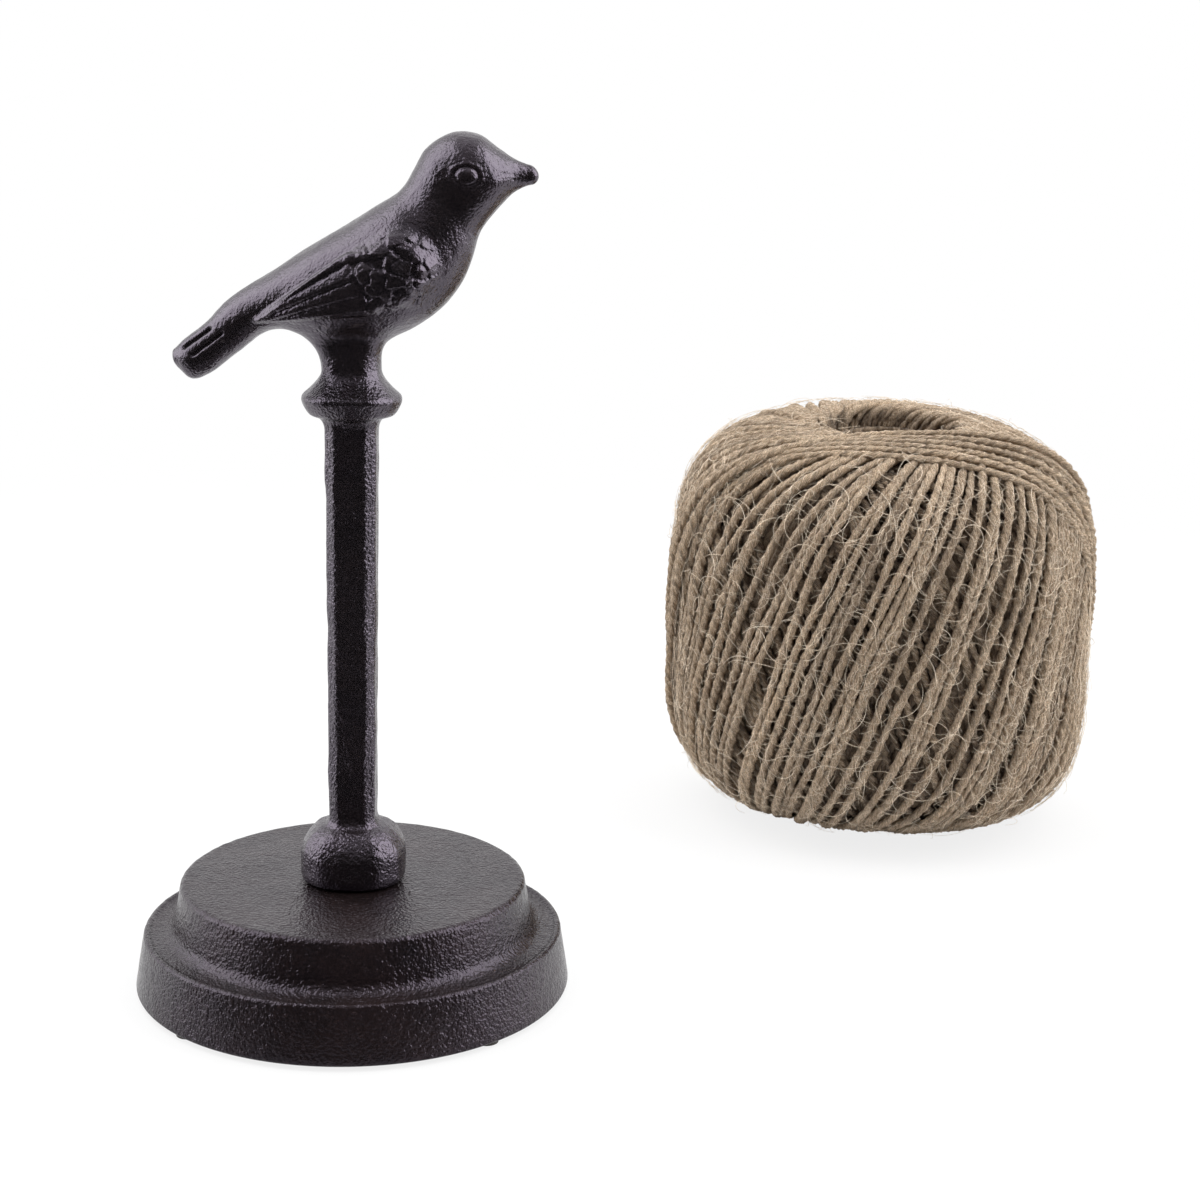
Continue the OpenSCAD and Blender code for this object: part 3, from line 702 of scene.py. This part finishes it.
def wing_relief(p):
    """Height of the wing and its feathers at points of the side view."""
    far, t = segment_distance(p, WING_SHOULDER, WING_TIP)
    reach = mix(WING_SHOULDER_R, WING_TIP_R, t)
    way = unit(WING_TIP - WING_SHOULDER)
    a = (p - WING_SHOULDER) @ way
    # The shoulder swells out of the breast, and the edge sharpens towards the tip
    edge_w = mix(SHOULDER_EDGE, WING_EDGE, smooth((a - EDGE_FROM) / EDGE_FADE))
    inside = smooth((reach - far) / edge_w)
    wobble = WOBBLE_H * waves(np.stack([p[:, 0], p[:, 1], np.zeros(len(p))], -1), WOBBLE_L)
    b = (p - WING_SHOULDER) @ np.array([-way[1], way[0]])
    # Small feathers overlap like scales over the shoulder, front over back, each a little out of line
    scales = np.zeros(len(p))
    taken = np.zeros(len(p), dtype=bool)
    for row in range(ROWS):
        for column in COLUMNS:
            row_a = FIRST_ROW + row * ROW_STEP + rng.normal(0, ROW_SHIFT)
            column_b = (column + 0.5 * (row % 2)) * COLUMN_STEP + rng.normal(0, COLUMN_SHIFT)
            scale_r, tilt, worn = rng.uniform(*SCALE_R), rng.normal(0, SCALE_TILT), rng.uniform(*SCALE_H)
            da = (a - row_a) * math.cos(tilt) + (b - column_b) * math.sin(tilt)
            db = (b - column_b) * math.cos(tilt) - (a - row_a) * math.sin(tilt)
            d = np.hypot(da, db * 1.1) + wobble
            mine = (d < scale_r) & ~taken
            rise = 0.1 + 0.9 * np.clip((da + scale_r) / (2 * scale_r), 0, 1) ** 1.3
            edge = smooth((scale_r - d) / SCALE_EDGE)
            quill = hump(db, QUILL_H, QUILL_W) * smooth((da + scale_r) / scale_r)
            scales[mine] = (worn * (rise * edge + quill))[mine]
            taken |= mine
    scales[~taken] = -SCALE_GAP
    front = 1 - smooth((a - SCALES_END) / SCALES_FADE)
    # Long feathers run back to the tip
    across = b / np.maximum(reach, 1.0)
    place = across * LONG_FEATHERS + LONG_START
    long_feathers = LONG_H * (place % 1.0) * smooth((1 - np.abs(across)) / 0.15)
    lines = np.abs((place + 0.5) % 1.0 - 0.5) * reach / LONG_FEATHERS
    long_feathers -= hump(lines, LONG_GROOVE, LONG_GROOVE)
    # A ridge follows the upper edge towards the tip
    ridge = hump(reach - far - RIDGE_IN, RIDGE_H, RIDGE_W) * smooth((a - RIDGE_FROM) / RIDGE_FROM) * (b < 0)
    return inside * (WING_T + mix(long_feathers, scales, front) + ridge)


def bird_relief(points, normals):
    """How far the bird's carving stands out of its plain form."""
    p = np.stack([points[:, 0], points[:, 2] - BIRD_Z], -1)
    side = smooth((np.abs(normals[:, 1]) - 0.12) / 0.4)
    height = side * wing_relief(p)
    eye = (p - EYE) / EYE_HALF
    d = np.linalg.norm(eye, axis=1)
    ball_h, ball_r = EYE_BALL
    ball = ball_h * np.sqrt(np.clip(1 - (d / ball_r) ** 2, 0, 1))
    rings = sum(hump(d - place, ring_h, width) for ring_h, place, width in (EYE_RIM, EYE_GROOVE))
    height += side * (ball + rings)
    for start, end in TAIL_GROOVES:
        far, _ = segment_distance(p, start, end)
        height -= hump(far, TAIL_GROOVE_DEPTH, TAIL_GROOVE_W) * smooth((np.abs(points[:, 1]) - 0.6) / 0.8)
    far, _ = segment_distance(p, *MOUTH)
    height -= hump(far, MOUTH_DEPTH, MOUTH_W) * side
    return height


def make_spindle(material):
    points, quads = fused_casting()
    points = relaxed(points, quads, np.full(len(points), SKIN_SOFT), SKIN_ROUNDS, SKIN_BACK)
    r = np.hypot(points[:, 0], points[:, 1])
    above = points[:, 2] - BIRD_Z
    joint = between(above, JOINT_FROM, JOINT_TO, JOINT_FADE) * (1 - smooth((r - JOINT_R) / JOINT_R_FADE))
    points = relaxed(points, quads, JOINT_SOFT * joint, JOINT_ROUNDS)
    # The moulder's hand has softened the foot most, then the collar and the post's edges
    foot = 1 - smooth((points[:, 2] - DOME_TOP + 2.0) / 2.0)
    seated = smooth((points[:, 2] - BASE_TOP) / 2.0)
    points = relaxed(points, quads, FOOT_SOFT * foot * seated, SHANK_ROUNDS)
    points = relaxed(points, quads, SHANK_SOFT * (above < SHANK_TOP) * seated, SHANK_ROUNDS)
    normals = outward_normals(points, quads)
    from_joint = np.abs(points[:, 0]) + np.maximum(above, 0)
    bird = smooth((above + CARVING_FADE) / CARVING_FADE)
    bird *= smooth((from_joint - CARVING_OUT) / CARVING_OUT_FADE)
    lift = bird * bird_relief(points, normals)
    lift += seated * CASTING_WAVE * waves(points, CASTING_WAVE_L, SLOW_WAVES)
    lift += seated * (GRAIN_WAVE + FOOT_GRAIN_WAVE * foot) * waves(points, GRAIN_WAVE_L, FINE_WAVES)
    dressed = between(points[:, 2], DOME_TOP, COLLAR_Z - STROKE_END, STROKE_FADE)
    lift += STROKE_H * dressed * waves(points * STROKE_STRETCH, STROKE_W, SLOW_WAVES, post_rng)
    for place, radius, height in WARTS:
        lift += hump(np.linalg.norm(points - place, axis=1), height, radius)
    points += normals * lift[:, None]
    ob = mesh_object("bird_casting", points, quads, material)
    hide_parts("bird_spindle")
    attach(ob, "spindle")


# Ball of twine


BARREL_A = BALL_D / 2 - TWINE_R
AT_LIP = 1 / math.tan(math.radians(LEAN))


def barrel(latitude, depth):
    """Points (r, z) of the ball's outer barrel at a latitude in radians, sunk by a depth."""
    power = np.where(latitude < 0, POWER_DOWN, POWER_UP)
    high = (BALL_H / 2 - TWINE_R) * (1 + AT_LIP ** power) ** (1 / power)
    c, s = np.cos(latitude) / BARREL_A, np.abs(np.sin(latitude)) / high
    k = (c ** power + s ** power) ** (-1 / power)
    nr, nz = (k * c) ** (power - 1) / BARREL_A, (k * s) ** (power - 1) / high
    n = np.hypot(nr, nz)
    z = k * np.abs(np.sin(latitude)) - depth * nz / n
    return k * np.cos(latitude) - depth * nr / n, np.sign(latitude) * z


def leaning(points):
    """Points of the ball as it slumped: moved sideways with their height, and its ends sloped."""
    x, y, z = points[..., 0], points[..., 1], points[..., 2]
    x = x - BALL_LEAN * z * smooth((np.hypot(x, y) - UPRIGHT_R) / UPRIGHT_FADE)
    z = z + np.where(z > 0, TOP_SLOPE, BOTTOM_SLOPE) * y * z / (BALL_H / 2)
    return np.stack([x, y, np.maximum(z, -BALL_H / 2 + 0.02)], -1)


def hugging(points, height):
    """Points moved straight in or out to a height over the barrel."""
    r = np.hypot(points[..., 0], points[..., 1])
    on_r, on_z = barrel(np.arctan2(points[..., 2], r), -height)
    return np.stack([points[..., 0] * on_r / r, points[..., 1] * on_r / r, on_z], -1)


def falling_depth(latitude):
    deep = smooth((np.abs(np.degrees(latitude)) - LIP_FROM) / (LIP_TO - LIP_FROM))
    return mix(UNDER_DEPTH, np.where(latitude < 0, FLOOR_LIP_DEPTH, LIP_DEPTH), deep)


def twine_path(turns, leans, sunk, outside=False, rising=150, falling=92):
    """Centre line of loops from lip to lip over the barrel and back. The falling halves lie under the rising
    ones, but the last wraps are outside all the way."""
    rows = []
    up, down = np.linspace(-90, 90, rising, endpoint=False), np.linspace(90, 270, falling, endpoint=False)
    u = np.radians(np.concatenate([up, down]))
    step = np.diff(np.append(turns, turns[-1] + (turns[-1] - turns[0]) / max(len(turns) - 1, 1)))
    for turn, on, lean, deep in zip(turns, step, np.radians(leans), np.broadcast_to(sunk, len(turns))):
        latitude = np.arcsin(np.sin(lean) * np.sin(u))
        straight = np.unwrap(np.arctan2(np.cos(lean) * np.sin(u), np.cos(u)))
        a = mix(straight, u, LEAN_SHARE)
        degrees = np.degrees(a)
        share = np.where(degrees < 90 + CHANGEOVER, (degrees - 90 + CHANGEOVER) / (2 * CHANGEOVER), 1.0)
        share = np.where(degrees > 270 - CHANGEOVER, (270 + CHANGEOVER - degrees) / (2 * CHANGEOVER), share)
        share = np.where(degrees < -90 + CHANGEOVER, (-90 + CHANGEOVER - degrees) / (2 * CHANGEOVER), share)
        share = np.zeros(len(u)) if outside else np.clip(share, 0, 1)
        # The last wraps are pressed flat where the ball stands on them
        pressed = smooth((np.degrees(latitude) - PRESSED_AT) / PRESSED_FADE) if outside else 1.0
        wander = rng.uniform(0, 2 * math.pi, 4)
        loose = LOOSE_WAVE * (1 + np.sin(2 * u + wander[0])) + rng.uniform(0, LOOSE_MOST)
        r, z = barrel(latitude, deep * pressed + share * falling_depth(latitude) + loose)
        sway = sum(height * np.sin(count * u + phase) for (height, count), phase in zip(SWAY, wander[1:]))
        around = a + np.radians(sway + turn + on * (u + math.pi / 2) / (2 * math.pi))
        rows.append(np.stack([r * np.cos(around), r * np.sin(around), z], -1))
    path = np.vstack(rows)
    # The changes from loop to loop are eased, so that the strand runs on without a kink
    for _ in range(6):
        path[1:-1] = 0.5 * path[1:-1] + 0.25 * (path[:-2] + path[2:])
    path[:, 2] = np.maximum(path[:, 2], -BALL_H / 2 + TWINE_R * 0.9)
    return path


def uneven_turns(loops, first):
    """Where each loop starts, in degrees: all round once, some close together and some apart."""
    gaps = rng.normal(1.0, GAP_SPREAD, loops).clip(GAP_LEAST, GAP_MOST)
    return first + 360.0 * np.cumsum(gaps) / gaps.sum()


def twine_frame(path):
    """Tangent, side and outward directions along a strand on the ball, and the length run so far."""
    tangent = unit(np.gradient(path, axis=0))
    side = unit(np.cross(tangent, unit(path)))
    length = np.concatenate([[0], np.cumsum(np.linalg.norm(np.diff(path, axis=0), axis=1))])
    return tangent, side, np.cross(side, tangent), length


def twine_tube(path, plies=3):
    """Rings of a twisted strand, and what its material reads: length, angle and a tone, with painted shade,
    for each ring.
    """
    tangent, side, out, length = twine_frame(path)
    local = np.radians(PLY_ANGLES)
    reach = PLY_OUT * np.cos(local) + np.sqrt(PLY_R ** 2 - (PLY_OUT * np.sin(local)) ** 2)
    angles = np.concatenate([local + k * 2 * math.pi / plies for k in range(plies)])
    radii = np.tile(reach, plies) * TWINE_R
    thick = 1.0 + sum(height * np.sin(length / period + phase) for height, period, phase in UNEVEN)
    twist = 2 * math.pi * length / TWINE_LAY + 0.6 * np.sin(length / 23.0)
    a = angles[None] + twist[:, None]
    r = radii[None] * thick[:, None]
    across, outward = np.cos(a)[..., None] * side[:, None], np.sin(a)[..., None] * out[:, None]
    rings = path[:, None] + r[..., None] * (across + outward)
    # Painted shade: deeper strands are darkened, as if shaded by the strands over them
    deep = (np.linalg.norm(hugging(path, 0.0), axis=1) - np.linalg.norm(path, axis=1)).clip(0.0, DEEPEST)
    drift = 0.2 * np.sin(length / 37.0) * np.sin(length / 91.0 + 2.0) + 0.12 * np.sin(length / 410.0)
    tone = TONE + drift - DEPTH_SHADE * deep
    facts = np.stack([
        np.broadcast_to(length[:, None], a.shape),
        np.broadcast_to(angles[None] % (2 * math.pi), a.shape),
        np.broadcast_to(tone[:, None], a.shape),
    ], -1)
    return rings, facts


def with_strand(ob, facts):
    """Stores what the jute material reads on each point."""
    attribute = ob.data.attributes.new("strand", "FLOAT_VECTOR", "POINT")
    attribute.data.foreach_set("vector", np.ascontiguousarray(facts, dtype=np.float32).ravel())


def make_strands(material):
    fewer, deeper = LOOPS // 2, UNDER_DEPTH * 1.6
    under = twine_path(uneven_turns(fewer, 1.0), np.full(fewer, LEAN), deeper, rising=80, falling=60)
    over = twine_path(uneven_turns(LOOPS, 0.0), LEAN + rng.normal(0, 1.0, LOOPS), 0.0)
    # The last wraps run over the others and pass in front of the hole, higher the closer they are to it
    turns = LAST_TURN + np.sort(rng.uniform(-LAST_SPREAD, LAST_SPREAD, LAST_WRAPS))
    heights = TWINE_R * np.linspace(*LAST_HEIGHTS, LAST_WRAPS)
    last = twine_path(turns, np.linspace(*LAST_LEANS, LAST_WRAPS), -heights, outside=True)
    points, faces, facts, count = [], [], [], 0
    for path in (under, over, last):
        rings, ring_facts = twine_tube(path)
        n, sides = rings.shape[:2]
        points.append(rings.reshape(-1, 3))
        facts.append(ring_facts.reshape(-1, 3))
        faces += (grid_faces(n, sides) + count).tolist()
        end = count + n * sides
        faces += [list(range(count + sides - 1, count - 1, -1)), list(range(end - sides, end))]
        count = end
    points = np.vstack(points)
    ob = mesh_object("twine_strands", leaning(points) + BALL_MIDDLE, faces, material)
    with_strand(ob, np.vstack(facts))
    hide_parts("twine_winding")
    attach(ob, "twine_ball")
    return np.vstack([over, last])


def make_inside(material):
    """The layers under the strands, with the hole through them, in darker jute as painted shade."""
    latitudes = np.radians(np.linspace(1 - LEAN, LEAN - 1, INSIDE_ROWS))
    r, z = barrel(latitudes, UNDER_DEPTH + falling_depth(latitudes))
    hole_top = BALL_H / 2 - HOLE_LIP
    wall = np.linspace(hole_top, -hole_top, WALL_ROWS)
    profile = np.vstack([np.stack([r, z], -1), np.stack([np.full(WALL_ROWS, BORE_R + 1.0), wall], -1)])
    around = 240
    a = np.arange(around) / around * 2 * math.pi
    grid_r = np.broadcast_to(profile[:, :1], (len(profile), around)).copy()
    grid_z = np.broadcast_to(profile[:, 1:], (len(profile), around))
    on_wall = np.arange(len(profile)) >= INSIDE_ROWS
    # Strands in the hole's wall climb it on a slant
    slant = np.cos(WALL_STRANDS * a[None] + grid_z * WALL_SLANT)
    grid_r[on_wall] -= WALL_DEPTH * np.sqrt(np.clip(0.5 + 0.5 * slant[on_wall], 0, 1))
    points = np.stack([grid_r * np.cos(a), grid_r * np.sin(a), grid_z], -1).reshape(-1, 3)
    faces = grid_faces(len(profile), around, closed=True)
    ob = mesh_object("twine_inside", leaning(points) + BALL_MIDDLE, faces, material)
    # Its low tone darkens it further, as painted shade
    facts = np.stack([points[:, 2] * 0.6, np.tile(a, len(profile)), np.full(len(points), 0.3)], -1)
    with_strand(ob, facts)
    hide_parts("twine_core")
    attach(ob, "twine_ball")


def make_fuzz(path, material):
    """Loose fibres on the outer strands: many short ones, and long pale ones that curl over others."""
    tangent, side, out, length = twine_frame(path)
    # Fewer on the crown, and none at the floor
    crown = BALL_H / 2 - FIBRE_MARGIN
    share = np.where(path[:, 2] < crown, 1.0, CROWN_FIBRES) * (path[:, 2] > -crown)
    share *= np.linalg.norm(path - hugging(path, 0.0), axis=1) < FIBRE_DEPTH
    points, faces, facts, count = [], [], [], 0
    corners = [(math.cos(k * 2 * math.pi / 3), math.sin(k * 2 * math.pi / 3)) for k in range(3)]
    for fibres, steps, *spans in FIBRES:
        at = rng.choice(len(path), fibres, p=share / share.sum())
        heading = rng.normal(0, FIBRE_SPREAD, fibres)[:, None] + math.pi * rng.integers(0, 2, (fibres, 1))
        way = np.cos(heading) * tangent[at] + np.sin(heading) * side[at]
        turn = np.cross(out[at], way)
        reach, bend, thick, lift, tone = (rng.uniform(*span, (fibres, 1)) for span in spans)
        bend *= rng.choice([-1.0, 1.0], (fibres, 1))
        # A few stand off the ball
        lift += rng.uniform(*STRAY_LIFT, (fibres, 1)) * (rng.uniform(size=(fibres, 1)) < STRAY_SHARE)
        t = np.linspace(0, 1, steps)[None]
        ahead = (reach * np.sin(bend * t) / bend)[..., None] * way[:, None]
        aside = (reach * (1 - np.cos(bend * t)) / bend)[..., None] * turn[:, None]
        middle = path[at][:, None] + ahead + aside
        arch = np.sin(math.pi * t * rng.uniform(0.5, 1.0, (fibres, 1)))
        middle = hugging(middle, TWINE_R * FIBRE_ROOT + lift * arch)
        along = unit(np.gradient(middle, axis=1))
        u = unit(np.cross(along, out[at][:, None]))
        v = np.cross(along, u)
        taper = (thick * mix(1.0, FIBRE_TIP, t))[..., None]
        rings = np.stack([middle + taper * (x * u + y * v) for x, y in corners], 2)
        first = count + (np.arange(fibres) * steps * 3)[:, None]
        faces += (grid_faces(steps, 3)[None] + first[:, None]).reshape(-1, 4).tolist()
        faces += np.vstack([first + [2, 1, 0], first + (steps - 1) * 3 + np.array([0, 1, 2])]).tolist()
        points.append(rings.reshape(-1, 3))
        row = np.hstack([length[at][:, None], np.zeros((fibres, 1)), tone])
        facts.append(np.repeat(row, steps * 3, axis=0))
        count += fibres * steps * 3
    points = np.vstack(points)
    ob = mesh_object("twine_fuzz", leaning(points) + BALL_MIDDLE, faces, material)
    with_strand(ob, np.vstack(facts))
    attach(ob, "twine_ball")


# Studio


def maths_node(tree, kind, a, b):
    node = tree.nodes.new("ShaderNodeMath")
    node.operation = kind
    for socket, value in zip(node.inputs, (a, b)):
        if isinstance(value, float):
            socket.default_value = value
        else:
            tree.links.new(value, socket)
    return node.outputs[0]


def make_floor():
    """A pale floor, white but for the part's soft shadow, and dark in mirrors towards the front."""
    n = Nodes("pale_floor")
    n.shader.inputs["Base Color"].default_value = (0.78, 0.78, 0.78, 1.0)
    n.shader.inputs["Roughness"].default_value = 1.0
    n.shader.inputs["Specular IOR Level"].default_value = 0.0
    where = n.add("ShaderNodeTexCoord").outputs["Object"]
    place = n.add("ShaderNodeSeparateXYZ")
    n.link(where, place.inputs["Vector"])
    far = n.add("ShaderNodeVectorMath", operation="LENGTH")
    n.link(where, far.inputs[0])
    ray = n.add("ShaderNodeLightPath")
    camera, glossy = ray.outputs["Is Camera Ray"], ray.outputs["Is Glossy Ray"]
    whiteness = range_node(n.tree, far.outputs["Value"], 0.30, 0.75, 0.82, 1.0)
    share = maths_node(n.tree, "MULTIPLY", camera, whiteness)
    behind = range_node(n.tree, place.outputs["Y"], -0.10, 0.0, 0.02, 1.0)
    mirrored = maths_node(n.tree, "MULTIPLY", glossy, behind)
    glow = n.add("ShaderNodeEmission")
    n.link(maths_node(n.tree, "ADD", camera, mirrored), glow.inputs["Strength"])
    both = n.add("ShaderNodeMixShader")
    n.link(maths_node(n.tree, "ADD", share, glossy), both.inputs["Fac"])
    n.link(n.shader.outputs[0], both.inputs[1])
    n.link(glow.outputs[0], both.inputs[2])
    n.link(both.outputs[0], n.tree.nodes["Material Output"].inputs["Surface"])
    corners = np.array([[-1, -1, 0], [1, -1, 0], [1, 1, 0], [-1, 1, 0]]) * FLOOR_HALF
    corners[:, 2] = FLOOR_Z
    mesh_object("floor", corners, [[0, 1, 2, 3]], n.material)


def make_world():
    """White all round the part, darker towards the front, where a studio has its camera and no lamps."""
    world = bpy.data.worlds.new("studio")
    bpy.context.scene.world = world
    world.use_nodes = True
    tree = world.node_tree
    way = tree.nodes.new("ShaderNodeTexCoord")
    parts = tree.nodes.new("ShaderNodeSeparateXYZ")
    tree.links.new(way.outputs["Generated"], parts.inputs["Vector"])
    front = range_node(tree, parts.outputs["Y"], -0.50, 0.0, 0.045, 1.0)
    above = range_node(tree, parts.outputs["Z"], 0.40, 0.75, 0.0, 0.35)
    overhead = range_node(tree, parts.outputs["Z"], 0.60, 0.98, 1.0, 0.75)
    around = maths_node(tree, "MULTIPLY", maths_node(tree, "MAXIMUM", front, above), overhead)
    seen = tree.nodes.new("ShaderNodeLightPath").outputs["Is Camera Ray"]
    light = tree.nodes["Background"]
    tree.links.new(maths_node(tree, "MAXIMUM", around, seen), light.inputs["Strength"])
    light.inputs["Color"].default_value = (1.0, 1.0, 1.0, 1.0)


def add_lamp(name, place, target, size, power, mirrored):
    lamp = bpy.data.lights.new(name, "AREA")
    lamp.shape = "RECTANGLE"
    lamp.size, lamp.size_y = size
    lamp.energy = power
    ob = bpy.data.objects.new(name, lamp)
    ob.location = place
    ob.rotation_euler = (Vector(target) - Vector(place)).to_track_quat("-Z", "Y").to_euler()
    ob.visible_camera = False
    ob.visible_glossy = mirrored
    bpy.context.scene.collection.objects.link(ob)


def make_camera():
    """The photograph's view, from a little to the right of the stand."""
    camera = bpy.data.cameras.new("camera")
    camera.sensor_width = CAMERA_SENSOR
    camera.lens = CAMERA_LENS
    camera.clip_start, camera.clip_end = 0.01, 50.0
    ob = bpy.data.objects.new("camera", camera)
    pitch, roll = math.radians(CAMERA_PITCH), math.radians(CAMERA_ROLL)
    turn = Matrix.Rotation(math.pi / 2 + pitch, 4, "X") @ Matrix.Rotation(roll, 4, "Z")
    ob.matrix_world = Matrix.Translation(CAMERA_PLACE) @ turn
    bpy.context.scene.collection.objects.link(ob)
    bpy.context.scene.camera = ob


bpy.context.scene.view_settings.view_transform = "Standard"
make_camera()
make_floor()
make_world()
for lamp in LAMPS:
    add_lamp(*lamp)

make_base(iron_material("iron_base_paint", **BASE_PAINT))
make_spindle(iron_material("iron_spindle_paint", **SPINDLE_PAINT))
make_stud(steel_material())
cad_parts["felt_pads"].data.materials.clear()
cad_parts["felt_pads"].data.materials.append(felt_material())
outer_strands = make_strands(jute_material("jute_twine", *TWINE_COLOURS))
make_inside(jute_material("jute_inside_shaded", *SHADED_INSIDE_COLOURS))
make_fuzz(outer_strands, jute_material("jute_fibre", *FIBRE_COLOURS))
